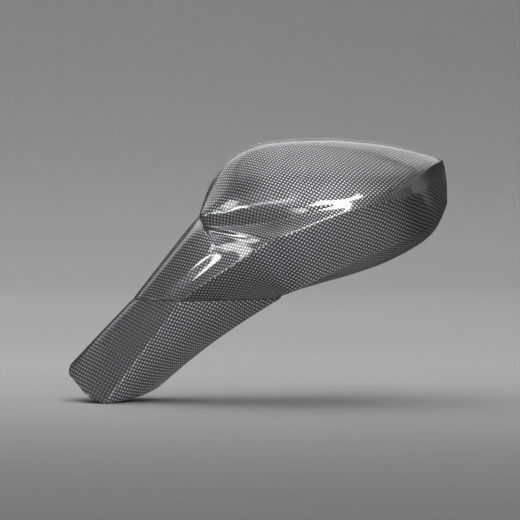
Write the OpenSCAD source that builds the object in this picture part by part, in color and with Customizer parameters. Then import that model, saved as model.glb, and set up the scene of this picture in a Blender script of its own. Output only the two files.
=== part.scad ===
// Wing mirror cover, left hand: a pod open to the rear and the stalk that carries it.
// X runs outwards from the car, Y runs rearwards and Z runs up.
// The origin is the middle of the cable hole, where it meets the outside of the foot.

/* [Main sizes] */
// How far the tip reaches outwards from the origin
reach = 275; // [255:1:295]
// Height of the fold line, where the stalk ends and the pod begins
fold_z = 68; // [60:1:76]
// Height of the pod above the fold line
pod_height = 129; // [120:1:138]
// Depth of the open rear behind the origin
rim_y = 42; // [40:0.5:46]
// Length of the foot from front left to rear right
foot_length = 79; // [76:0.5:84]

/* [Moulding] */
// Thickness of the carbon moulding
wall = 2; // [1.6:0.1:2.2]
// Depth of the flange that each shell turns inwards at the fold line
joint_flange = 9; // [7:0.5:12]
// Depth of the flange at the foot of the stalk
foot_flange = 13; // [12:0.5:15]
// Width of the raised band round the open rear of the pod
band = 8; // [6:0.5:10]
// How far the band stands proud of the pod
band_step = 2; // [1.2:0.1:2.6]
// Width of the groove inside the band
groove = 4; // [3:0.5:5]
// How deep the front of the arm is scooped out
arm_scoop = 4; // [2:0.5:5]

/* [Soft edges] */
// Softness of the ridge along the front of the dome
ridge_soft = 10; // [7:0.5:12]
// Softness of the valley between the dome and the shelf
valley_soft = 3.5; // [2.5:0.5:5]
// Softness of the crease that runs from the foot to the tip
crease_soft = 3; // [2.4:0.2:4]
// Softness of the lower edge
edge_soft = 4; // [2.5:0.5:6]

/* [Bosses in the pod] */
// How far forward of the open rear the boss faces stand
boss_back = 45; // [40:1:46]
// Diameter of a boss
boss_d = 16; // [14:0.5:18]
// Length of the round part of a boss
boss_l = 9; // [8:0.5:10]
// Diameter of the body of a threaded insert
insert_d = 8; // [7:0.5:9]
// Length of the body of a threaded insert
insert_l = 7; // [6:0.5:7.5]
// Diameter of the collar of a threaded insert
collar_d = 11; // [10:0.5:12]
// Thickness of the collar of a threaded insert
collar_t = 1; // [0.8:0.1:1.5]
// Diameter of the threaded hole in a head insert
insert_hole = 4.2; // [3.3:0.1:5]

/* [Foot bracket] */
// Thickness of the bracket plate
plate_t = 4; // [3:0.5:5]
// Distance from the outside of the foot to the edge of the bracket
plate_in = 8.5; // [7.5:0.5:9]
// Diameter of the cable hole through the bracket
cable_hole = 18; // [12:1:19]
// Diameter of the spigot that reaches down to the door through the foot flange
spigot_d = 25; // [22:0.5:26]
// Diameter of the ring of threaded holes in the bracket
stud_ring = 30; // [28:0.5:31]
// Diameter of each threaded hole in the bracket
stud_hole = 5; // [4:0.1:5.5]
// Radial clearance of an insert in its boss
insert_gap = 0.05; // [0.02:0.01:0.1]

/* [Hidden] */
// Samples on each span of the loft, along the shell and round it
along = 2;
round_it = 2;
// The leg of the small bends at both flanges
bend = wall+0.4;
// The character lines below are drawn at this reach, fold line, pod height, rim depth and foot length
drawn = [275, 68, 129, 42, 79];
// The rake of the open rear, and the place along the drawn reach where its depth is measured
rim_rake = 0.14;
rim_x = 170;
// The slope of the foot, along X and along Y
foot_x = -0.24;
foot_y = 0.44;
// How full the rounded faces are
fullness = 1;
// How far a boss's root laps its round part, and how much wider it is there all round
root_lap = 1;
root_spread = 1.5;
// How much deeper the hole in a boss is than its insert
hole_spare = 0.5;
// How far a cut reaches past the face it opens
past = 1;
// The film of adhesive under the bracket plate, and the places of its threaded holes
plate_seat = 0.02;
stud_angles = [30, 150, 270];

// From the drawn sizes to the real ones
function out(x) = x*reach/drawn[0];
function up(z) = fold_z+(z-drawn[1])*pod_height/drawn[2];
function deep(y) = y*rim_y/drawn[3];
function rim_depth(x) = rim_y+rim_rake*(x-out(rim_x));
function on_rim(p) = [out(p[0]), rim_depth(out(p[0])), up(p[1])];
function on_fold(p) = [out(p[0]), deep(p[1]), fold_z];
function foot_place(p) = p*foot_length/drawn[4];
function on_foot(p) = let (q = foot_place(p)) [q[0], q[1], foot_x*q[0]+foot_y*q[1]];
// A line of the head: a point with three numbers is free, and one with two lies in the plane of the open rear
function line(start, points) =
    concat([start], [for (p = points) len(p) == 2 ? on_rim(p) : [out(p[0]), deep(p[1]), up(p[2])]]);

// The character lines, from the fold line to the tip, one point at each station.
// Stations 1 to 4 cross the arm, 5 is the tuck behind the nose, 6 is the nose, and the rest fan out over the pod.
fold_section = [for (p = [[26,24], [12,3], [30,-15], [41,-23], [59,-34], [139,10], [126,29], [77,34]]) on_fold(p)];
rim_top = line(fold_section[0], [[43,24,91], [57,27,110], [65,30,122], [71,33,132], [75,34,139], [77,144], [79,151],
    [83,161], [91,177], [115,193], [146,196], [179,197], [201,195], [221,193], [240,189], [253,186], [265,182],
    [271,179]]);
shoulder = line(fold_section[1], [[29,3,89], [44,3,107], [55,5,119], [65,9,128], [78,13,132], [71,5,139], [75,-1,148],
    [83,-7,158], [96,-13,176], [121,-11,188], [150,-9,190], [180,-7,191], [200,-4,190], [221,4,188], [240,13,186],
    [254,27,183], [264,42,182], [271,55,179]]);
ridge = line(fold_section[2], [[48,-15,90], [63,-14,107], [71,-12,118], [76,-9,125], [77,1,129], [71,-8,134],
    [82,-17,137], [99,-22,137], [114,-30,140], [134,-36,143], [156,-39,144], [181,-40,147], [200,-36,149],
    [220,-27,155], [238,-14,162], [253,7,171], [264,29,176], [272,56,178]]);
valley = line(fold_section[3], [[60,-25,88], [76,-26,102], [84,-24,112], [82,-16,119], [78,-4,124], [75,-9,127],
    [88,-15,126], [107,-20,127], [126,-29,129], [141,-36,132], [159,-40,136], [182,-42,141], [200,-38,146],
    [220,-28,151], [238,-13,157], [253,8,163], [264,30,170], [272,56,176]]);
crease = line(fold_section[4], [[79,-38,83], [98,-41,95], [109,-44,102], [118,-46,108], [125,-47,113], [131,-48,117],
    [136,-49,119], [142,-50,121], [150,-49,124], [158,-49,127], [168,-48,131], [181,-46,136], [199,-40,141],
    [219,-27,146], [238,-11,149], [254,10,154], [265,31,163], [273,56,173]]);
edge = line(fold_section[5], [[139,1,70], [140,-6,71], [142,-10,72], [145,-13,73], [148,-14,75], [151,-15,76],
    [155,-16,78], [159,-17,80], [164,-16,82], [170,-15,85], [177,-14,88], [185,-13,92], [202,-9,101], [222,-3,108],
    [241,7,116], [256,23,123], [269,42,131], [275,56,147]]);
rim_bottom = line(fold_section[6], [[131,30,69], [134,32,69], [137,34,70], [141,36,70], [145,38,71], [149,73],
    [153,74], [158,75], [165,77], [172,79], [179,81], [187,83], [204,88], [224,95], [242,104], [257,113], [268,124],
    [274,142]]);
back = line(fold_section[7], [[85,35,78], [95,37,88], [102,38,95], [108,38,101], [112,38,106], [115,38,110],
    [118,38,114], [122,38,119], [130,38,126], [144,38,135], [162,41,139], [183,44,140], [202,46,142], [222,49,144],
    [239,52,147], [251,53,150], [257,54,152], [263,55,155]]);
foot_section = [for (p = [[-26,23], [-38,8], [-28,-7], [-16,-27], [-2,-33], [41,13], [28,28], [2,34]]) on_foot(p)];
// How far each line bows out of the straight between the fold line and the foot
stalk_bow = [[0,0,0], [0,0,0], [-5,0,0], [-2,2,0], [0,2,0], [-5,-2,1], [-4,0,1], [0,0,0]];
// How much rounder the stalk's edges and face become towards the foot
foot_softer = 8;
foot_bulge = 5;
// The first station where the rear is fully open, and how many stations the opening takes
open_station = 8;
opens_over = 3;
// The station where the scoop in the arm is deepest, and how many stations it takes to fade
scoop_station = 2;
scoop_over = 3;

// Plain helpers
function unit(v) = v/norm(v);
function mix(a, b, t) = a*(1-t)+b*t;
function toward(p, q, d, most = 0.42) = p+min(d, norm(q-p)*most)*unit(q-p);
function soft(a, p, b, r) = [toward(p, a, r), p, toward(p, b, r)];
function away(p, q, d) = p+d*unit(p-q);

// One closed section from its eight character points, in the order of the lines above.
// opening goes from 0, closed at the back, to 1, open, and lift is how far the band stands proud.
function section(c, opening = 0, lift = 0, scoop = 0, bulge = fullness, softer = 0) =
    let (t = c[0], q = c[1], d = c[2], v = c[3], g = c[4], e = c[5], b = c[6], k = c[7],
        high = mix(t, q, 0.5), low = mix(d, q, 0.5),
        on_band = toward(t, high, band), on_groove = toward(t, high, band+groove, 0.7), raise = lift*unit(on_band-k),
        shelf = away(mix(v, g, 0.5), k, -scoop), face = away(mix(g, e, 0.5), k, bulge),
        under = away(mix(e, b, 0.5), k, fullness),
        t1 = mix(toward(t, k, bend*2), away(t, on_band, bend), opening),
        t2 = mix(toward(t, k, bend*5), away(t, on_band, bend*2), opening),
        b1 = mix(toward(b, k, bend*2), away(b, under, bend), opening),
        b2 = mix(toward(b, k, bend*5), away(b, under, bend*2), opening))
    concat([k, t2, t1, t, toward(t, on_band, bend), on_band+raise, on_groove-raise/2, high, low],
        soft(low, d, v, ridge_soft), soft(d, v, g, valley_soft+softer), [shelf], soft(shelf, g, face, crease_soft),
        [face], soft(face, e, under, edge_soft+softer), [under, toward(b, under, bend), b, b1, b2]);

// Places in the section list
i_top = 3;
i_shelf = 15;
i_edge = 20;
i_bottom = 25;

// A uniform cubic spline, on points or on whole sections
function weights(t) = [pow(1-t, 3), 3*pow(t, 3)-6*t*t+4, -3*pow(t, 3)+3*t*t+3*t+1, pow(t, 3)]/6;
function blend(p, i, w) = let (m = len(p)) p[(i+m-1)%m]*w[0]+p[i%m]*w[1]+p[(i+1)%m]*w[2]+p[(i+2)%m]*w[3];
function closed(p, n) = [for (i = [0:len(p)-1]) for (k = [0:n-1]) blend(p, i, weights(k/n))];
function opened(p, n) =
    let (last = len(p)-1, q = concat([2*p[0]-p[1]], p, [2*p[last]-p[last-1]]))
    [for (i = [0:last]) for (k = [0:(i == last ? 0 : n-1)]) i == last ? p[last] : blend(q, i+1, weights(k/n))];
function loft(sections) = [for (s = opened(sections, along)) closed(s, round_it)];

// The same net one wall further in, with mitred bends
function net_normals(s) =
    [for (i = [0:len(s)-2]) [for (j = [0:len(s[0])-1]) let (n = (j+1)%len(s[0]))
        unit(cross(s[i+1][n]-s[i][j], s[i][n]-s[i+1][j]))]];
function inset(s, t) =
    let (n = net_normals(s), rows = len(n), m = len(s[0]))
    [for (i = [0:rows]) let (a = n[max(i-1, 0)], b = n[min(i, rows-1)])
        [for (j = [0:m-1]) let (sum = a[j]+a[(j+m-1)%m]+b[j]+b[(j+m-1)%m]) s[i][j]+4*t*sum/(sum*sum)]];

// A section drawn in towards its middle, for a flange
function drawn_in(s, d) = let (mid = (s[i_top]+s[i_shelf]+s[i_edge])/3) [for (p = s) p+d*unit(mid-p)];

// A closed wall between two nets, with the rear left open past a row
module skin(outer, inner, open_row = 9999) {
    rows = len(outer);
    cols = len(outer[0]);
    first = i_top*round_it;
    last = i_bottom*round_it;
    there = [for (i = [-1:rows]) [for (j = [0:cols-1])
        i >= 0 && i < rows-1 && (i < open_row || (j >= first && j < last))]];
    flat = [for (r = concat(outer, inner)) each r];
    size = rows*cols;
    faces = [for (i = [0:rows-2]) for (j = [0:cols-1]) if (there[i+1][j])
        let (k = (j+1)%cols, a = i*cols+j, b = i*cols+k, c = (i+1)*cols+k, d = (i+1)*cols+j)
        each concat([[a, c, b], [a, d, c], [size+a, size+b, size+c], [size+a, size+c, size+d]],
            there[i][j] ? [] : [[a, b, size+a], [size+a, b, size+b]],
            there[i+2][j] ? [] : [[c, d, size+c], [size+c, d, size+d]],
            there[i+1][(j+cols-1)%cols] ? [] : [[d, a, size+d], [size+d, a, size+a]],
            there[i+1][k] ? [] : [[b, c, size+b], [size+b, c, size+c]])];
    polyhedron(flat, faces);
}

// The head's sections: the flange at the fold line, a tight bend, then the stations
head_lines = [rim_top, shoulder, ridge, valley, crease, edge, rim_bottom, back];
last_station = len(back)-1;
function opening(k) = min(max((k-open_station)/opens_over+1, 0), 1);
head_stations = [for (k = [0:last_station]) section([for (l = head_lines) l[k]], opening(k),
    band_step*min(opening(k), (last_station-k)/2), arm_scoop*max(1-abs(k-scoop_station)/scoop_over, 0))];
fold_ring = head_stations[0];
function moved(s, t, f) = [for (j = [0:len(s)-1]) toward(s[j], t[j], f)];
head_net = concat([drawn_in(fold_ring, joint_flange), drawn_in(fold_ring, bend), fold_ring,
    moved(fold_ring, head_stations[1], bend)], [for (k = [1:last_station]) head_stations[k]]);

// The stalk's sections, from the flange at the fold line down to the flange at the foot
function stalk_station(t) = section([for (j = [0:7]) mix(fold_section[j], foot_section[j], t)+4*t*(1-t)*stalk_bow[j]],
    bulge = fullness+foot_bulge*t, softer = foot_softer*t);
foot_ring = stalk_station(1);
stalk_net = [drawn_in(foot_ring, foot_flange), drawn_in(foot_ring, bend), foot_ring, moved(foot_ring, fold_ring, bend),
    stalk_station(0.67), stalk_station(0.33), moved(fold_ring, foot_ring, bend), fold_ring,
    drawn_in(fold_ring, bend), drawn_in(fold_ring, joint_flange)];

// The carbon shells
head_outer = loft(head_net);
head_inner = loft(inset(head_net, wall));
module head_shell() color("dimgray") skin(head_outer, head_inner, (open_station+3)*along);
module stalk_shell() color("gray") skin(loft(stalk_net), loft(inset(stalk_net, wall)));

// Bosses: each stands on a patch of the pod's inner face and points out of the open rear.
// Its place is the knot of the loft under its middle: the station, then the point of the section.
boss_places = [[11, 9], [14, 9], [10, 19], [13, 19]];
rear = unit([-rim_rake, 1, 0]);
across = unit([1, rim_rake, 0]);
function behind_rim(p) = (p[1]-rim_depth(p[0]))/sqrt(1+rim_rake*rim_rake);
function boss_foot(n) = head_inner[(boss_places[n][0]+3)*along][boss_places[n][1]*round_it];
function boss_face(n) = boss_foot(n)-(boss_back+behind_rim(boss_foot(n)))*rear;
module facing_rear(p) translate(p) rotate([-90, 0, atan(rim_rake)]) children();

// The moulded root of a boss, from its patch of the shell to an octagon under the round part
module boss_root(n) {
    row = (boss_places[n][0]+3)*along;
    col = boss_places[n][1]*round_it;
    patch = [for (i = [-1:1]) for (j = [-1:1]) head_inner[row+i][col+j]];
    top = boss_face(n)-(boss_l-root_lap)*rear;
    loop = [0, 1, 2, 5, 8, 7, 6, 3];
    ring = [for (k = loop) let (v = patch[k]-patch[4], a = atan2(v[2], v*across))
        top+(boss_d/2+root_spread)*(cos(a)*across+[0, 0, sin(a)])];
    base = [for (i = [0:1]) for (j = [0:1]) let (a = i*3+j) each [[a, a+4, a+1], [a, a+3, a+4]]];
    sides = [for (k = [0:7]) let (n = (k+1)%8) each [[loop[k], loop[n], 9+n], [loop[k], 9+n, 9+k]]];
    cap = [for (k = [0:7]) [9+k, 9+(k+1)%8, 17]];
    polyhedron(concat(patch, ring, [top]), concat(base, sides, cap));
}
module head_boss(n) color("black") difference() {
    union() {
        boss_root(n);
        facing_rear(boss_face(n)) translate([0, 0, -boss_l]) cylinder(d = boss_d, h = boss_l, $fn = 48);
    }
    facing_rear(boss_face(n)) translate([0, 0, -insert_l-hole_spare])
        cylinder(d = insert_d+2*insert_gap, h = insert_l+hole_spare+past, $fn = 48);
}
module head_insert(n) color("goldenrod") facing_rear(boss_face(n)) difference() {
    union() {
        translate([0, 0, -insert_l]) cylinder(d = insert_d, h = insert_l, $fn = 48);
        cylinder(d = collar_d, h = collar_t, $fn = 48);
    }
    translate([0, 0, -insert_l-past]) cylinder(d = insert_hole, h = insert_l+collar_t+2*past, $fn = 48);
}

// The bracket inside the foot, on the foot flange, that the door's studs screw into
foot_turn = [atan(foot_y/sqrt(1+foot_x*foot_x)), atan(-foot_x), 0];
foot_u = [cos(foot_turn[1]), 0, -sin(foot_turn[1])];
foot_v = [sin(foot_turn[0])*sin(foot_turn[1]), cos(foot_turn[0]), sin(foot_turn[0])*cos(foot_turn[1])];
plate_edge = [for (p = closed(drawn_in(foot_ring, plate_in), 2)) [p*foot_u, p*foot_v]];
plate_z = wall+plate_seat;
module foot_bracket() color("silver") rotate(foot_turn) difference() {
    union() {
        translate([0, 0, plate_z]) linear_extrude(plate_t) polygon(plate_edge);
        cylinder(d = spigot_d, h = plate_z+plate_t/2, $fn = 64);
    }
    translate([0, 0, -past]) cylinder(d = cable_hole, h = plate_z+plate_t+2*past, $fn = 64);
    for (a = stud_angles) rotate(a) translate([stud_ring/2, 0, plate_z-past])
        cylinder(d = stud_hole, h = plate_t+2*past, $fn = 32);
}

head_shell();
stalk_shell();
foot_bracket();
head_boss(0);  // head_boss_1
head_boss(1);  // head_boss_2
head_boss(2);  // head_boss_3
head_boss(3);  // head_boss_4
head_insert(0);  // head_insert_1
head_insert(1);  // head_insert_2
head_insert(2);  // head_insert_3
head_insert(3);  // head_insert_4
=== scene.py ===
import math
import bpy
import numpy as np
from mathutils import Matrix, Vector


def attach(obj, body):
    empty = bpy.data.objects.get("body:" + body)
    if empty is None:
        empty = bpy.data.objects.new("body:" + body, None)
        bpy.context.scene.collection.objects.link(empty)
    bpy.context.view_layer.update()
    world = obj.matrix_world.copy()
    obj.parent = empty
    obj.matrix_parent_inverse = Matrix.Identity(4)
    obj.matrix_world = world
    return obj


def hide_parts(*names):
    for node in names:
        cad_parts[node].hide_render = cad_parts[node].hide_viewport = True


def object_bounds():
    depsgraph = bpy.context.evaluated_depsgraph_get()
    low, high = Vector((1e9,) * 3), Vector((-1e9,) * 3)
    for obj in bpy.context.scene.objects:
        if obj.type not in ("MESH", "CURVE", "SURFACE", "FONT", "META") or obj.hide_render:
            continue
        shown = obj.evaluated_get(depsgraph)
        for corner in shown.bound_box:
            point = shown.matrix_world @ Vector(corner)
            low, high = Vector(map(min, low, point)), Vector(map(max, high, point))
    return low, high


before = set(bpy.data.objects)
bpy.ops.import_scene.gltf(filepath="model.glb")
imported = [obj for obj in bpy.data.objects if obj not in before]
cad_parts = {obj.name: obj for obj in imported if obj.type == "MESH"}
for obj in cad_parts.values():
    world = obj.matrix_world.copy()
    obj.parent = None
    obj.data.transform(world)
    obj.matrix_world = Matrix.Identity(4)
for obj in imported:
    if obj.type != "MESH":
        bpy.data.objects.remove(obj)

CAD_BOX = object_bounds()
MM = 0.001

# Camera: it looks along +Y and slightly down, as the photograph does
FRAME_PX = 520
MM_PER_PX = 0.8
VIEW_MIDDLE = Vector((121.6, 0.0, 99.2)) * MM
VIEW_DISTANCE = 2.2
VIEW_DOWN = math.radians(2)
SENSOR = 36.0
VIEW_END = 20.0

# The moulding, as in the CAD model, in millimetres
WALL = 2.0
BEND = WALL + 0.4
JOINT_FLANGE = 9.0
FOOT_FLANGE = 13.0
BAND = 8.0
GROOVE = 4.0
BAND_STEP = 2.0
ARM_SCOOP = 4.0
RIDGE_SOFT = 10.0
VALLEY_SOFT = 3.5
CREASE_SOFT = 3.0
EDGE_SOFT = 4.0
FOLD_Z = 68.0
RIM_Y = 42.0
RIM_RAKE = 0.14
FOOT_X = -0.24
FOOT_Y = 0.44
RIM_X = 170
# The rear is open from this station on, and closes over this many before it
OPEN_STATION = 8
OPENS_OVER = 3
# A station's row in the head's net is its number plus this
HEAD_ROWS_BEFORE = 3
# The opening row of a shell whose rear stays closed
NEVER = 99
# The scoop of the arm is deepest at this station, and ends this many stations away
SCOOP_STATION = 2
SCOOP_REACH = 3
# Columns of a section: top of the rim, shelf, crease, lower edge, bottom of the rim, and how many
TOP = 3
SHELF_COLUMN = 15
CREASE_COLUMN = 17
EDGE_COLUMN = 20
BOTTOM = 25
COLUMNS = 28
# A corner reaches at most this share of a span, and the groove this share
SPAN_SHARE = 0.42
GROOVE_SHARE = 0.7
# Where the stalk has stations between its ends, and how much fuller and softer it gets toward its foot
STALK_STATIONS = (0.67, 0.33)
FOOT_BULGE = 5
FOOT_SOFT = 8


# Character lines of the shells
def on_rim(points):
    return [[x, RIM_Y + RIM_RAKE * (x - RIM_X), z] for x, z in points]


def on_fold(points):
    return [[x, y, FOLD_Z] for x, y in points]


def on_foot(points):
    return [[x, y, FOOT_X * x + FOOT_Y * y] for x, y in points]


# The sections at the fold line and at the foot, with one point on each character line
FOLD = on_fold([[26, 24], [12, 3], [30, -15], [41, -23], [59, -34], [139, 10], [126, 29], [77, 34]])
FOOT = on_foot([[-26, 23], [-38, 8], [-28, -7], [-16, -27], [-2, -33], [41, 13], [28, 28], [2, 34]])
# The lines from the fold to the tip, with one point at each station
RIM_TOP = [FOLD[0], [43, 24, 91], [57, 27, 110], [65, 30, 122], [71, 33, 132], [75, 34, 139]] + on_rim(
    [[77, 144], [79, 151], [83, 161], [91, 177], [115, 193], [146, 196], [179, 197], [201, 195], [221, 193],
     [240, 189], [253, 186], [265, 182], [271, 179]])
SHOULDER = [FOLD[1], [29, 3, 89], [44, 3, 107], [55, 5, 119], [65, 9, 128], [78, 13, 132], [71, 5, 139],
            [75, -1, 148], [83, -7, 158], [96, -13, 176], [121, -11, 188], [150, -9, 190], [180, -7, 191],
            [200, -4, 190], [221, 4, 188], [240, 13, 186], [254, 27, 183], [264, 42, 182], [271, 55, 179]]
RIDGE = [FOLD[2], [48, -15, 90], [63, -14, 107], [71, -12, 118], [76, -9, 125], [77, 1, 129], [71, -8, 134],
         [82, -17, 137], [99, -22, 137], [114, -30, 140], [134, -36, 143], [156, -39, 144], [181, -40, 147],
         [200, -36, 149], [220, -27, 155], [238, -14, 162], [253, 7, 171], [264, 29, 176], [272, 56, 178]]
VALLEY = [FOLD[3], [60, -25, 88], [76, -26, 102], [84, -24, 112], [82, -16, 119], [78, -4, 124],
          [75, -9, 127], [88, -15, 126], [107, -20, 127], [126, -29, 129], [141, -36, 132],
          [159, -40, 136], [182, -42, 141], [200, -38, 146], [220, -28, 151], [238, -13, 157],
          [253, 8, 163], [264, 30, 170], [272, 56, 176]]
CREASE = [FOLD[4], [79, -38, 83], [98, -41, 95], [109, -44, 102], [118, -46, 108], [125, -47, 113],
          [131, -48, 117], [136, -49, 119], [142, -50, 121], [150, -49, 124], [158, -49, 127],
          [168, -48, 131], [181, -46, 136], [199, -40, 141], [219, -27, 146], [238, -11, 149],
          [254, 10, 154], [265, 31, 163], [273, 56, 173]]
EDGE = [FOLD[5], [139, 1, 70], [140, -6, 71], [142, -10, 72], [145, -13, 73], [148, -14, 75],
        [151, -15, 76], [155, -16, 78], [159, -17, 80], [164, -16, 82], [170, -15, 85], [177, -14, 88],
        [185, -13, 92], [202, -9, 101], [222, -3, 108], [241, 7, 116], [256, 23, 123], [269, 42, 131],
        [275, 56, 147]]
RIM_BOTTOM = [FOLD[6], [131, 30, 69], [134, 32, 69], [137, 34, 70], [141, 36, 70], [145, 38, 71]] + on_rim(
    [[149, 73], [153, 74], [158, 75], [165, 77], [172, 79], [179, 81], [187, 83], [204, 88], [224, 95],
     [242, 104], [257, 113], [268, 124], [274, 142]])
BACK = [FOLD[7], [85, 35, 78], [95, 37, 88], [102, 38, 95], [108, 38, 101], [112, 38, 106], [115, 38, 110],
        [118, 38, 114], [122, 38, 119], [130, 38, 126], [144, 38, 135], [162, 41, 139], [183, 44, 140],
        [202, 46, 142], [222, 49, 144], [239, 52, 147], [251, 53, 150], [257, 54, 152], [263, 55, 155]]
# How far each line of the stalk bows out half way
STALK_BOW = [[0, 0, 0], [0, 0, 0], [-5, 0, 0], [-2, 2, 0], [0, 2, 0], [-5, -2, 1], [-4, 0, 1], [0, 0, 0]]
LINES = np.array([RIM_TOP, SHOULDER, RIDGE, VALLEY, CREASE, EDGE, RIM_BOTTOM, BACK], float)


# The loft of the shells
def unit(v):
    return v / np.linalg.norm(v)


def toward(p, q, d, most=SPAN_SHARE):
    """The place that far from p on the way to q."""
    return p + min(d, np.linalg.norm(q - p) * most) * unit(q - p)


def away(p, q, d):
    """The place that far from p on the side away from q."""
    return p + d * unit(p - q)


def soft(a, p, b, r):
    """A corner at p with a control point on each side."""
    return [toward(p, a, r), p, toward(p, b, r)]


def blended(p, q, share):
    return p * (1 - share) + q * share


def section(c, opening, band_height, scoop, bulge=1.0, softer=0.0):
    """One closed section of control points from its eight character points."""
    t, q, d, v, g, e, b, k = c
    high = (t + q) / 2
    low = (d + q) / 2
    band = toward(t, high, BAND)
    groove = toward(t, high, BAND + GROOVE, GROOVE_SHARE)
    lift = band_height * unit(k - band)
    shelf = away((v + g) / 2, k, -scoop)
    face = away((g + e) / 2, k, bulge)
    under = away((e + b) / 2, k, 1.0)
    behind = [blended(toward(t, k, BEND * 5), away(t, band, 2 * BEND), opening),
              blended(toward(t, k, BEND * 2), away(t, band, BEND), opening),
              blended(toward(b, k, BEND * 2), away(b, under, BEND), opening),
              blended(toward(b, k, BEND * 5), away(b, under, 2 * BEND), opening)]
    rim = [t, toward(t, band, BEND), band - lift, groove + lift * 0.5, high, low]
    return np.array([k] + behind[:2] + rim
                    + soft(low, d, v, RIDGE_SOFT) + soft(d, v, g, VALLEY_SOFT + softer) + [shelf]
                    + soft(shelf, g, face, CREASE_SOFT) + [face] + soft(face, e, under, EDGE_SOFT + softer)
                    + [under, toward(b, under, BEND), b] + behind[2:])


def weights(t):
    """Weights of the four control points round a place on a uniform cubic spline."""
    return np.array([(1 - t) ** 3,
                     3 * t ** 3 - 6 * t * t + 4,
                     -3 * t ** 3 + 3 * t * t + 3 * t + 1,
                     t ** 3]) / 6


def spline_open(p, n):
    """Samples of a uniform cubic spline through both end points, n to a span."""
    q = np.concatenate([[2 * p[0] - p[1]], p, [2 * p[-1] - p[-2]]])
    out = [np.tensordot(weights(k / n), q[i:i + 4], 1) for i in range(len(p) - 1) for k in range(n)]
    return np.array(out + [p[-1]])


def spline_round(net, n):
    """Samples of a closed uniform cubic spline along the second axis of a net."""
    before, after, last = np.roll(net, 1, 1), np.roll(net, -1, 1), np.roll(net, -2, 1)
    steps = []
    for k in range(n):
        w = weights(k / n)
        steps.append(before * w[0] + net * w[1] + after * w[2] + last * w[3])
    return np.stack(steps, 2).reshape(net.shape[0], net.shape[1] * n, -1)


def loft(net, along, round_it):
    return spline_round(spline_open(net, along), round_it)


def inset(net, t):
    """The same net one wall further in, with mitred bends."""
    right = np.roll(net, -1, 1)
    n = np.cross(right[1:] - net[:-1], right[:-1] - net[1:])
    n /= np.linalg.norm(n, axis=2, keepdims=True)
    above = np.concatenate([n[:1], n])
    below = np.concatenate([n, n[-1:]])
    total = above + np.roll(above, 1, 1) + below + np.roll(below, 1, 1)
    return net + 4 * t * total / (total * total).sum(2, keepdims=True)


def drawn_in(ring, d):
    """A section drawn in toward its middle, for a flange."""
    middle = (ring[TOP] + ring[SHELF_COLUMN] + ring[EDGE_COLUMN]) / 3
    return np.array([p + d * unit(middle - p) for p in ring])


def moved(ring, target, d):
    """A section moved that far toward the next one, to keep the bend at a flange small."""
    return np.array([toward(a, b, d) for a, b in zip(ring, target)])


def head_net():
    last = LINES.shape[1] - 1
    stations = []
    for k in range(last + 1):
        opening = min(max((k - OPEN_STATION) / OPENS_OVER + 1, 0), 1)
        scoop = ARM_SCOOP * max(1 - abs(k - SCOOP_STATION) / SCOOP_REACH, 0)
        stations.append(section(LINES[:, k], opening, BAND_STEP * min(opening, (last - k) / 2), scoop))
    fold = stations[0]
    flange = [drawn_in(fold, JOINT_FLANGE), drawn_in(fold, BEND)]
    return np.array(flange + [fold, moved(fold, stations[1], BEND)] + stations[1:])


def stalk_station(t):
    fold, foot, bow = np.array(FOLD), np.array(FOOT), np.array(STALK_BOW)
    lines = blended(fold, foot, t) + 4 * t * (1 - t) * bow
    return section(lines, 0.0, 0.0, 0.0, 1 + FOOT_BULGE * t, FOOT_SOFT * t)


def stalk_net():
    fold, foot = stalk_station(0), stalk_station(1)
    return np.array([drawn_in(foot, FOOT_FLANGE), drawn_in(foot, BEND), foot, moved(foot, fold, BEND)]
                    + [stalk_station(t) for t in STALK_STATIONS]
                    + [moved(fold, foot, BEND), fold, drawn_in(fold, BEND), drawn_in(fold, JOINT_FLANGE)])


# Meshes of the shells, with the cloth laid over them as a UV map in millimetres
# Samples on each span of the loft, for the mesh and for the flattening of the cloth
FINE = 6
COARSE = 2
# Spans of the net in a flange, and rows of the outer face beside it that take the dark edge colour as
# painted shade, so the joint reads as a dark line
FLANGE_SPANS = 2
JOINT_SHADE_ROWS = 2
SHARP_EDGE = math.radians(50)
# Material slots of a shell: lacquered, bare inside, and the dark colour of the trimmed edges, which is also
# laid as painted shade at the joints
LACQUERED, BARE, EDGE_AND_JOINT_SHADE = 0, 1, 2


def present(rows, cols, open_row, n):
    """Which cells of a net are wall: all of them before open_row, and the front of the pod after it."""
    cells = np.ones((rows - 1, cols), bool)
    cells[open_row:, :TOP * n] = False
    cells[open_row:, BOTTOM * n:] = False
    return cells


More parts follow.
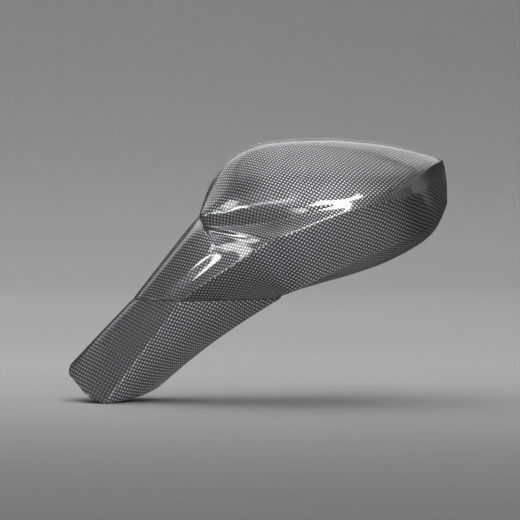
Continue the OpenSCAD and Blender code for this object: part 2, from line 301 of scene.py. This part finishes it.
def cloth_map(points, cells, first, last, at, lean, pitch):
    """Flatten the outer face between two columns, and return a UV in mm at each coarse sample.
    The tows along U rise by lean, in degrees, in the front view at one sample."""
    rows, cols = points.shape[:2]
    width = last - first + 1
    verts = [points[i, j % cols] for i in range(rows) for j in range(first, last + 1)]
    faces = [(i * width + j, i * width + j + 1, (i + 1) * width + j + 1, (i + 1) * width + j)
             for i in range(rows - 1) for j in range(width - 1) if cells[i, first + j]]
    mesh = bpy.data.meshes.new("flat")
    mesh.from_pydata(verts, [], faces)
    mesh.uv_layers.new(name="cloth")
    obj = bpy.data.objects.new("flat", mesh)
    bpy.context.scene.collection.objects.link(obj)
    # The CAD meshes come in selected, and would be unwrapped as well
    bpy.ops.object.select_all(action="DESELECT")
    bpy.context.view_layer.objects.active = obj
    obj.select_set(True)
    bpy.ops.object.mode_set(mode="EDIT")
    bpy.ops.mesh.select_all(action="SELECT")
    bpy.ops.uv.unwrap(method="MINIMUM_STRETCH", margin=0.0)
    bpy.ops.object.mode_set(mode="OBJECT")
    uv = np.full((rows * width, 2), np.nan)
    for loop in mesh.loops:
        uv[loop.vertex_index] = mesh.uv_layers["cloth"].data[loop.index].uv
    edges = np.array([(f[0], f[1]) for f in faces] + [(f[1], f[2]) for f in faces])
    places = np.array(verts)
    real = np.linalg.norm(places[edges[:, 0]] - places[edges[:, 1]], axis=1).sum()
    flat = np.linalg.norm(uv[edges[:, 0]] - uv[edges[:, 1]], axis=1).sum()
    uv *= real / flat / pitch
    bpy.data.objects.remove(obj)
    bpy.data.meshes.remove(mesh)
    uv = uv.reshape(rows, width, 2)
    i, j = at
    here, right, up = uv[i, j - first], uv[i, j + 1 - first], uv[i + 1, j - first]
    sides = np.array([right - here, up - here]).T
    seen_right = (points[i, j + 1] - points[i, j])[[0, 2]]
    seen_up = (points[i + 1, j] - points[i, j])[[0, 2]]
    seen = np.array([seen_right, seen_up]).T
    slope = math.radians(lean)
    along = sides @ np.linalg.inv(seen) @ np.array([math.cos(slope), math.sin(slope)])
    c, s = along / np.linalg.norm(along)
    uv = fill_map(uv @ np.array([[c, -s], [s, c]]))
    return resample(uv, FINE // COARSE)


def fill_map(uv):
    """Carry the map on over the samples that the flattening left out."""
    known = ~np.isnan(uv[..., 0])
    for j in range(uv.shape[1]):
        good = np.where(known[:, j])[0]
        for i in range(uv.shape[0]):
            if len(good) and not known[i, j]:
                uv[i, j] = uv[good[np.argmin(abs(good - i))], j]
    uv[np.isnan(uv)] = 0.0
    return uv


def resample(uv, factor):
    """Smooth samples between the coarse ones, in both directions."""
    def one_way(a):
        q = np.concatenate([[2 * a[0] - a[1]], a, [2 * a[-1] - a[-2]]])
        out = []
        for i in range(len(a) - 1):
            p0, p1, p2, p3 = q[i], q[i + 1], q[i + 2], q[i + 3]
            for k in range(factor):
                t = k / factor
                out.append(0.5 * (2 * p1 + (p2 - p0) * t + (2 * p0 - 5 * p1 + 4 * p2 - p3) * t * t
                                  + (3 * p1 - p0 - 3 * p2 + p3) * t ** 3))
        return np.array(out + [a[-1]])
    return one_way(one_way(uv).swapaxes(0, 1)).swapaxes(0, 1)


def beside_flange(row, rows, flanges, reach):
    """Whether a row lies in the flange at either end, or within so many rows of one."""
    at_first = flanges[0] > 0 and row < flanges[0] * FINE + reach
    at_last = flanges[1] > 0 and row >= rows - 1 - flanges[1] * FINE - reach
    return at_first or at_last


def shell(name, net, open_row, flanges, cloths, materials):
    """A shell with its outer face, inner face and trimmed edges.
    Each cloth runs from one column to another, and lies as its sample, lean and pitch say."""
    outer = loft(net, FINE, FINE)
    inner = loft(inset(net, WALL), FINE, FINE)
    rows, cols = outer.shape[:2]
    cells = present(rows, cols, open_row * FINE, FINE)
    coarse = loft(net, COARSE, COARSE)
    flat_cells = present(coarse.shape[0], coarse.shape[1], open_row * COARSE, COARSE)
    flat_cells[:flanges[0] * COARSE] = False
    flat_cells[len(flat_cells) - flanges[1] * COARSE:] = False
    maps = []
    for first, last, at, lean, pitch in cloths:
        place = (at[0] * COARSE, at[1] * COARSE)
        maps.append((first * FINE, last * FINE,
                     cloth_map(coarse, flat_cells, first * COARSE, last * COARSE, place, lean, pitch)))
    size = rows * cols
    faces, face_uv, kind = [], [], []

    def add(corners, slot, start, uv, flange):
        faces.append([row * cols + col % cols + (size if deep else 0) for row, col, deep in corners])
        for row, col, deep in corners:
            face_uv.append(outer[row, col % cols, :2] if flange else uv[row, col - start])
        kind.append(slot)

    for i in range(rows - 1):
        flange = beside_flange(i, rows, flanges, 0)
        # Painted shade: the faces in and beside a flange take the dark edge colour, so the joint reads as a
        # dark line
        front = EDGE_AND_JOINT_SHADE if beside_flange(i, rows, flanges, JOINT_SHADE_ROWS) else LACQUERED
        for j in range(cols):
            if not cells[i, j]:
                continue
            start, uv = next((start, uv) for start, end, uv in maps if start <= j < end)
            ring = [(i, j), (i, j + 1), (i + 1, j + 1), (i + 1, j)]
            add([(a, b, False) for a, b in ring], front, start, uv, flange)
            add([(a, b, True) for a, b in reversed(ring)], BARE, start, uv, flange)
            sides = [(i - 1, j), (i, (j + 1) % cols), (i + 1, j), (i, (j - 1) % cols)]
            for n, (a, b) in enumerate(sides):
                if 0 <= a < rows - 1 and cells[a, b]:
                    continue
                p, q = ring[n], ring[(n + 1) % 4]
                add([(*q, False), (*p, False), (*p, True), (*q, True)], EDGE_AND_JOINT_SHADE, start, uv, flange)
    verts = np.concatenate([outer.reshape(-1, 3), inner.reshape(-1, 3)]) * MM
    used = np.unique(np.concatenate([np.array(f) for f in faces]))
    renumber = np.zeros(len(verts), int)
    renumber[used] = np.arange(len(used))
    mesh = bpy.data.meshes.new(name)
    mesh.from_pydata(verts[used].tolist(), [], [[int(renumber[v]) for v in f] for f in faces])
    layer = mesh.uv_layers.new(name="cloth")
    layer.data.foreach_set("uv", np.array(face_uv).ravel())
    mesh.polygons.foreach_set("material_index", kind)
    mesh.polygons.foreach_set("use_smooth", [True] * len(kind))
    mesh.set_sharp_from_angle(angle=SHARP_EDGE)
    for material in materials:
        mesh.materials.append(material)
    mesh.validate()
    obj = bpy.data.objects.new(name, mesh)
    bpy.context.scene.collection.objects.link(obj)
    return obj


# Materials
class Nodes:
    """A short way to write a material's nodes."""

    def __init__(self, name):
        self.material = bpy.data.materials.new(name)
        self.material.use_nodes = True
        self.tree = self.material.node_tree
        self.shader = self.tree.nodes["Principled BSDF"]

    def add(self, kind, **values):
        node = self.tree.nodes.new(kind)
        for key, value in values.items():
            setattr(node, key, value)
        return node

    def link(self, source, target):
        self.tree.links.new(source, target)

    def feed(self, socket, value):
        if isinstance(value, bpy.types.NodeSocket):
            self.link(value, socket)
        else:
            socket.default_value = value

    def math(self, operation, a, b=None):
        node = self.add("ShaderNodeMath", operation=operation)
        for socket, value in zip(node.inputs, (a, b)):
            if value is not None:
                self.feed(socket, value)
        return node.outputs[0]

    # A mix node's sockets 2 and 3 are its numbers, 4 and 5 its vectors, 6 and 7 its colours
    def mix(self, factor, a, b):
        node = self.add("ShaderNodeMix", data_type="RGBA")
        self.feed(node.inputs[0], factor)
        self.feed(node.inputs[6], a)
        self.feed(node.inputs[7], b)
        return node.outputs[2]

    def set(self, **values):
        for key, value in values.items():
            self.feed(self.shader.inputs[key.replace("_", " ")], value)


# The cloth, in mm: width of a tow, strands across it, how far the weave wanders and how often
TOW = 2.0
STRANDS = 5
WANDER = 3.0
WANDER_SCALE = 0.03
# How soft the change is from one tow to the next
TOW_EDGE = 0.12
# Colours between the tows, of the tows along V and of those along U. The tows are one fibre: those along U
# are painted bright, a painted highlight for how they catch the light, those along V keep the cloth's dark
# tone, and the colour between the tows is painted shade
GAP_PAINTED_SHADE = (0.01, 0.01, 0.01, 1)
WARP_SHADE = (0.045, 0.045, 0.046, 1)
WEFT_PAINTED_HIGHLIGHT = (0.32, 0.32, 0.33, 1)
TOW_METAL = 0.8
TOW_ROUGH = 0.55
TOW_SPREAD = 0.8
TOW_RELIEF = 0.0002
STRAND_HEIGHT = 0.05


def carbon(name, gloss):
    """Plain-weave carbon cloth, under lacquer where gloss is true."""
    n = Nodes(name)
    place = n.add("ShaderNodeUVMap", uv_map="cloth")
    split = n.add("ShaderNodeSeparateXYZ")
    n.link(place.outputs[0], split.inputs[0])
    wander = n.add("ShaderNodeTexNoise")
    wander.inputs["Scale"].default_value = WANDER_SCALE
    n.link(place.outputs[0], wander.inputs["Vector"])
    drift = n.add("ShaderNodeSeparateXYZ")
    n.link(wander.outputs["Color"], drift.inputs[0])
    u = n.math("ADD", split.outputs[0], n.math("MULTIPLY", drift.outputs[0], WANDER))
    v = n.math("ADD", split.outputs[1], n.math("MULTIPLY", drift.outputs[1], WANDER))
    half = math.pi / TOW
    wave_u = n.math("SINE", n.math("MULTIPLY", u, half))
    wave_v = n.math("SINE", n.math("MULTIPLY", v, half))
    product = n.math("MULTIPLY", wave_u, wave_v)
    # 1 where a tow that runs along U is on top, 0 where one that runs along V is
    weft = n.add("ShaderNodeMapRange", interpolation_type="SMOOTHSTEP")
    weft.inputs["From Min"].default_value = -TOW_EDGE
    weft.inputs["From Max"].default_value = TOW_EDGE
    n.link(product, weft.inputs["Value"])
    crown = n.math("ABSOLUTE", product)
    strand_turn = 2 * math.pi / (TOW / STRANDS)
    strands_u = n.math("SINE", n.math("MULTIPLY", v, strand_turn))
    strands_v = n.math("SINE", n.math("MULTIPLY", u, strand_turn))
    strands = n.add("ShaderNodeMix", data_type="FLOAT")
    n.link(weft.outputs[0], strands.inputs[0])
    n.link(strands_v, strands.inputs[2])
    n.link(strands_u, strands.inputs[3])
    relief = n.math("POWER", crown, 0.5)
    height = n.math("ADD", relief, n.math("MULTIPLY", strands.outputs[0], STRAND_HEIGHT))
    bump = n.add("ShaderNodeBump")
    bump.inputs["Strength"].default_value = 0.5
    bump.inputs["Distance"].default_value = TOW_RELIEF
    n.link(height, bump.inputs["Height"])
    # A tow shines across its fibres, so the tows that run along U spread light along V
    along_u = n.add("ShaderNodeTangent", direction_type="UV_MAP", uv_map="cloth")
    facing = n.add("ShaderNodeNewGeometry")
    along_v = n.add("ShaderNodeVectorMath", operation="CROSS_PRODUCT")
    n.link(facing.outputs["Normal"], along_v.inputs[0])
    n.link(along_u.outputs[0], along_v.inputs[1])
    spread = n.add("ShaderNodeMix", data_type="VECTOR")
    n.link(weft.outputs[0], spread.inputs[0])
    n.link(along_u.outputs[0], spread.inputs[4])
    n.link(along_v.outputs[0], spread.inputs[5])
    # Painted highlight and shade: each tow is painted darker from its crown toward its edges, and the tows
    # along U paler than those along V
    warp_shade = n.mix(crown, GAP_PAINTED_SHADE, WARP_SHADE)
    weft_painted_highlight = n.mix(crown, GAP_PAINTED_SHADE, WEFT_PAINTED_HIGHLIGHT)
    shade = n.mix(weft.outputs[0], warp_shade, weft_painted_highlight)
    n.set(Base_Color=shade, Metallic=TOW_METAL, Roughness=TOW_ROUGH, Anisotropic=TOW_SPREAD,
          Normal=bump.outputs[0])
    n.link(spread.outputs[1], n.shader.inputs["Tangent"])
    if gloss:
        n.set(Coat_Weight=1.0, Coat_Roughness=0.02, Coat_IOR=1.5)
    return n.material


# The fine grain of the plain materials: its scale, relief, and darkest and palest tint
GRAIN_SCALE = 900.0
GRAIN_RELIEF = 0.0001
GRAIN_DARK, GRAIN_PALE = 0.85, 1.1
# How much the grain varies the roughness, round its middle
GRAIN_ROUGH, GRAIN_ROUGH_MIDDLE = 0.15, 0.07


def plain(name, color, rough, metallic=0.0):
    """A finish of one colour with a fine grain."""
    n = Nodes(name)
    grain = n.add("ShaderNodeTexNoise")
    grain.inputs["Scale"].default_value = GRAIN_SCALE
    grain.inputs["Detail"].default_value = 3.0
    place = n.add("ShaderNodeTexCoord")
    n.link(place.outputs["Object"], grain.inputs["Vector"])
    bump = n.add("ShaderNodeBump")
    bump.inputs["Strength"].default_value = 0.3
    bump.inputs["Distance"].default_value = GRAIN_RELIEF
    n.link(grain.outputs["Fac"], bump.inputs["Height"])
    dark = tuple(c * GRAIN_DARK for c in color) + (1,)
    pale = tuple(c * GRAIN_PALE for c in color) + (1,)
    tint = n.mix(grain.outputs["Fac"], dark, pale)
    varied = n.math("MULTIPLY", grain.outputs["Fac"], GRAIN_ROUGH)
    roughness = n.math("ADD", varied, rough - GRAIN_ROUGH_MIDDLE)
    n.set(Base_Color=tint, Metallic=metallic, Roughness=roughness, Normal=bump.outputs[0])
    return n.material


# Stage, light and camera
# Painted shading of the paper sweep, by the depth plus the height in metres: its grey stands in for how the
# light falls off
SWEEP_PAINTED_SHADING = [(-0.9, 0.2), (-0.5, 0.23), (-0.1, 0.34), (0.35, 0.42), (0.9, 0.34), (2.1, 0.45),
                (2.7, 0.37), (3.3, 0.32), (5.0, 0.31)]
SWEEP_START = -3.0
SWEEP_LENGTH = 9.0
SWEEP_TOP = 3.0
SWEEP_SIDE = 4.0
WALL_Y = 3.2
SWEEP_RADIUS = 1.2
# Samples along the floor, the curve and the wall
FLOOR_SAMPLES, CURVE_SAMPLES, WALL_SAMPLES = 24, 33, 16
# Painted shade that the lacquer sees in place of the paper behind the object, and the depths between which
# it begins
BEYOND_PAINTED_SHADE = (0.06, 0.06, 0.06, 1)
BEYOND_FROM, BEYOND_TO = 0.0, 0.15


def stage():
    """A sweep of grey paper: floor, curve and wall."""
    floor_z = CAD_BOX[0][2]
    curve_y = WALL_Y - SWEEP_RADIUS
    profile = [(y, 0.0) for y in np.linspace(SWEEP_START, curve_y, FLOOR_SAMPLES)[:-1]]
    for a in np.linspace(0, math.pi / 2, CURVE_SAMPLES):
        profile.append((curve_y + SWEEP_RADIUS * math.sin(a), SWEEP_RADIUS - SWEEP_RADIUS * math.cos(a)))
    profile += [(WALL_Y, z) for z in np.linspace(SWEEP_RADIUS, SWEEP_TOP, WALL_SAMPLES)[1:]]
    verts = [(x, y, floor_z + z) for x in (-SWEEP_SIDE, SWEEP_SIDE) for y, z in profile]
    count = len(profile)
    faces = [(i, i + 1, count + i + 1, count + i) for i in range(count - 1)]
    mesh = bpy.data.meshes.new("cyclorama")
    mesh.from_pydata(verts, [], faces)
    mesh.polygons.foreach_set("use_smooth", [True] * len(faces))
    obj = bpy.data.objects.new("cyclorama", mesh)
    bpy.context.scene.collection.objects.link(obj)
    n = Nodes("backdrop")
    place = n.add("ShaderNodeTexCoord")
    split = n.add("ShaderNodeSeparateXYZ")
    n.link(place.outputs["Object"], split.inputs[0])
    speckle = n.add("ShaderNodeTexNoise")
    speckle.inputs["Scale"].default_value = 60.0
    speckle.inputs["Detail"].default_value = 6.0
    n.link(place.outputs["Object"], speckle.inputs["Vector"])
    # Painted light falloff: the paper is painted palest just behind the object, and darker toward the
    # camera and up the wall
    along = n.math("ADD", split.outputs[1], split.outputs[2])
    ramp = n.add("ShaderNodeValToRGB")
    ramp.color_ramp.interpolation = "B_SPLINE"
    ends = ramp.color_ramp.elements
    while len(ends) < len(SWEEP_PAINTED_SHADING):
        ends.new(0.5)
    for stop, (place_on_sweep, shade) in zip(ends, SWEEP_PAINTED_SHADING):
        stop.position = (place_on_sweep - SWEEP_START) / SWEEP_LENGTH
        stop.color = (shade, shade, shade, 1)
    n.link(n.math("DIVIDE", n.math("ADD", along, -SWEEP_START), SWEEP_LENGTH), ramp.inputs["Fac"])
    grain = n.mix(speckle.outputs["Fac"], (0.96, 0.96, 0.96, 1), (1.04, 1.04, 1.04, 1))
    paper = n.add("ShaderNodeMix", data_type="RGBA", blend_type="MULTIPLY")
    paper.inputs[0].default_value = 1.0
    n.link(ramp.outputs["Color"], paper.inputs[6])
    n.link(grain, paper.inputs[7])
    # Painted shade in the reflections: glossy rays see the paper behind the object dark
    beyond = n.add("ShaderNodeMapRange", interpolation_type="SMOOTHSTEP")
    beyond.inputs["From Min"].default_value = BEYOND_FROM
    beyond.inputs["From Max"].default_value = BEYOND_TO
    n.link(split.outputs[1], beyond.inputs["Value"])
    path = n.add("ShaderNodeLightPath")
    hidden = n.math("MULTIPLY", beyond.outputs[0], path.outputs["Is Glossy Ray"])
    shown = n.mix(hidden, paper.outputs[2], BEYOND_PAINTED_SHADE)
    n.set(Base_Color=shown, Roughness=0.9, Specular_IOR_Level=0.0)
    mesh.materials.append(n.material)


# Middles of the spheres that the panels lie on: the object's, and those of areas with panels of their own
FOCUS = Vector((0.13, -0.02, 0.12))
FACET = Vector((0.19, -0.04, 0.145))
RIDGE_MIDDLE = Vector((0.14, -0.04, 0.145))
SHELF = Vector((0.105, -0.038, 0.114))
ARM = Vector((0.076, -0.036, 0.094))
# Radius of the sphere of most panels
FAR = 1.45


def direction(azimuth, elevation):
    """A unit vector. Azimuth 0 points to the camera, and grows toward +X."""
    az, el = math.radians(azimuth), math.radians(elevation)
    return Vector((math.sin(az) * math.cos(el), -math.cos(az) * math.cos(el), math.sin(el)))


def softbox(name, azimuths, elevations, strength, edge, distance=FAR, middle=FOCUS, last=None):
    """A panel that the lacquer reflects, between two azimuths and two elevations in degrees.
    A slanted one has other elevations at its last azimuth."""
    across, up = 12, 8
    last = last or elevations
    verts, faces = [], []
    for j in range(up + 1):
        for i in range(across + 1):
            azimuth = azimuths[0] + (azimuths[1] - azimuths[0]) * i / across
            low, high = (a + (b - a) * i / across for a, b in zip(elevations, last))
            verts.append(middle + distance * direction(azimuth, low + (high - low) * j / up))
    for j in range(up):
        for i in range(across):
            k = j * (across + 1) + i
            faces.append((k, k + 1, k + across + 2, k + across + 1))
    mesh = bpy.data.meshes.new(name)
    mesh.from_pydata(verts, [], faces)
    layer = mesh.uv_layers.new(name="panel")
    for loop in mesh.loops:
        j, i = divmod(loop.vertex_index, across + 1)
        layer.data[loop.index].uv = (i / across, j / up)
    obj = bpy.data.objects.new(name, mesh)
    bpy.context.scene.collection.objects.link(obj)
    obj.visible_camera = False
    obj.visible_shadow = False
    obj.visible_diffuse = False
    n = Nodes(name)
    place = n.add("ShaderNodeUVMap", uv_map="panel")
    split = n.add("ShaderNodeSeparateXYZ")
    n.link(place.outputs[0], split.inputs[0])
    fades = []
    for socket in (split.outputs[0], split.outputs[1]):
        inside = n.math("SUBTRACT", 0.5, n.math("ABSOLUTE", n.math("SUBTRACT", socket, 0.5)))
        fade = n.add("ShaderNodeMapRange", interpolation_type="SMOOTHSTEP")
        fade.inputs["From Min"].default_value = 0.0
        fade.inputs["From Max"].default_value = edge
        n.link(inside, fade.inputs["Value"])
        fades.append(fade.outputs[0])
    power = n.math("MULTIPLY", n.math("MULTIPLY", fades[0], fades[1]), strength)
    glow = n.add("ShaderNodeEmission")
    n.link(power, glow.inputs["Strength"])
    behind = n.add("ShaderNodeBsdfTransparent")
    both = n.add("ShaderNodeAddShader")
    n.link(glow.outputs[0], both.inputs[0])
    n.link(behind.outputs[0], both.inputs[1])
    out = n.tree.nodes["Material Output"]
    n.link(both.outputs[0], out.inputs["Surface"])
    n.tree.nodes.remove(n.shader)
    mesh.materials.append(n.material)


def area(name, place, target, size, power):
    data = bpy.data.lights.new(name, "AREA")
    data.shape = "RECTANGLE"
    data.size, data.size_y = size
    data.energy = power
    obj = bpy.data.objects.new(name, data)
    obj.location = place
    obj.rotation_euler = (Vector(target) - Vector(place)).to_track_quat("-Z", "Y").to_euler()
    bpy.context.scene.collection.objects.link(obj)
    return obj


WORLD_STRENGTH = 0.15
OVERHEAD_POWER = 80


def lights():
    """One large lamp, a plain world, and the panels that only the lacquer and the tows reflect."""
    world = bpy.data.worlds.new("studio")
    world.use_nodes = True
    world.node_tree.nodes["Background"].inputs[0].default_value = (1, 1, 1, 1)
    world.node_tree.nodes["Background"].inputs[1].default_value = WORLD_STRENGTH
    bpy.context.scene.world = world
    overhead = area("overhead", place=(-0.2, 0.5, 2.2), target=(0.12, 0.45, 0.1), size=(3.4, 3.4),
                    power=OVERHEAD_POWER)
    overhead.visible_glossy = False
    # The bright bar above the strip, the line along the ridge, and the light on the front face
    softbox("window", (-17, 52), (20, 62), strength=21, edge=0.04, distance=0.8, middle=FACET,
            last=(67, 71))
    softbox("ridge_line", (-58, -12), (4, 20), strength=7, edge=0.3, distance=0.35, middle=RIDGE_MIDDLE,
            last=(60, 70))
    softbox("low_front", (-28, 62), (-20, 8), strength=18, edge=0.2, distance=0.6, middle=FACET)
    softbox("low_right", (-20, 75), (-62, -20), strength=1.4, edge=0.4, distance=0.2)
    # The streaks on the arm and the pale shelf above it
    softbox("streak", (-70, -34), (32, 44), strength=20, edge=0.25, distance=0.14, middle=ARM)
    softbox("shelf_high", (-106, -68), (42, 52), strength=9, edge=0.25, distance=0.08, middle=SHELF,
            last=(26, 50))
    softbox("shelf_low", (-86, -70), (-6, 22), strength=18, edge=0.3)
    # Broad and weak ones all round
    softbox("band", (-56, -14), (30, 56), strength=0.9, edge=0.3)
    softbox("right_end", (72, 128), (-20, 30), strength=0.6, edge=0.3, distance=1.35)
    softbox("back", (108, 252), (16, 50), strength=1.2, edge=0.15, distance=1.5)
    softbox("ceiling", (88, 272), (46, 89), strength=1.0, edge=0.2, distance=1.55)
    softbox("front_ceiling", (-92, 92), (60, 89), strength=0.7, edge=0.25, distance=1.6)


def camera():
    data = bpy.data.cameras.new("camera")
    data.sensor_width = SENSOR
    data.lens = SENSOR * VIEW_DISTANCE / (FRAME_PX * MM_PER_PX * MM)
    data.clip_end = VIEW_END
    obj = bpy.data.objects.new("camera", data)
    back = Vector((0, -math.cos(VIEW_DOWN), math.sin(VIEW_DOWN)))
    obj.location = VIEW_MIDDLE + back * VIEW_DISTANCE
    obj.rotation_euler = (math.pi / 2 - VIEW_DOWN, 0, 0)
    bpy.context.scene.collection.objects.link(obj)
    bpy.context.scene.camera = obj


camera()
lights()
stage()
gloss_carbon = carbon("gloss_carbon", True)
dull_carbon = carbon("dull_carbon", False)
# Dark cut edges of the laminate; the same dark colour is laid on the faces at the joints as painted shade
cut_edge_and_joint_shade = plain("cut_carbon_edge_and_joint_shade", (0.012, 0.012, 0.013), 0.75)
CARBON = [gloss_carbon, dull_carbon, cut_edge_and_joint_shade]
# Each cloth: first and last column, the sample where its lean is set, the lean in degrees and its pitch
HEAD_CLOTHS = [(0, CREASE_COLUMN, (15, 8), 5, 0.92), (CREASE_COLUMN, COLUMNS, (15, 20), 22, 1.0)]
STALK_CLOTHS = [(0, COLUMNS, (4, 20), 27, 1.0)]
OPEN_ROW = OPEN_STATION + HEAD_ROWS_BEFORE
head = shell("head_carbon", head_net(), OPEN_ROW, (FLANGE_SPANS, 0), HEAD_CLOTHS, CARBON)
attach(head, "root")
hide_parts("head_shell")
stalk = shell("stalk_carbon", stalk_net(), NEVER, (FLANGE_SPANS, FLANGE_SPANS), STALK_CLOTHS, CARBON)
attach(stalk, "root")
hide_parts("stalk_shell")

FINISHES = {"boss": plain("moulded_nylon", (0.03, 0.03, 0.032), 0.5),
            "insert": plain("turned_brass", (0.72, 0.52, 0.24), 0.28, 1.0),
            "bracket": plain("blasted_alloy", (0.62, 0.63, 0.64), 0.42, 1.0)}
for name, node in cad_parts.items():
    for word, finish in FINISHES.items():
        if word in name:
            node.data.materials.clear()
            node.data.materials.append(finish)

bpy.context.scene.view_settings.view_transform = "Standard"
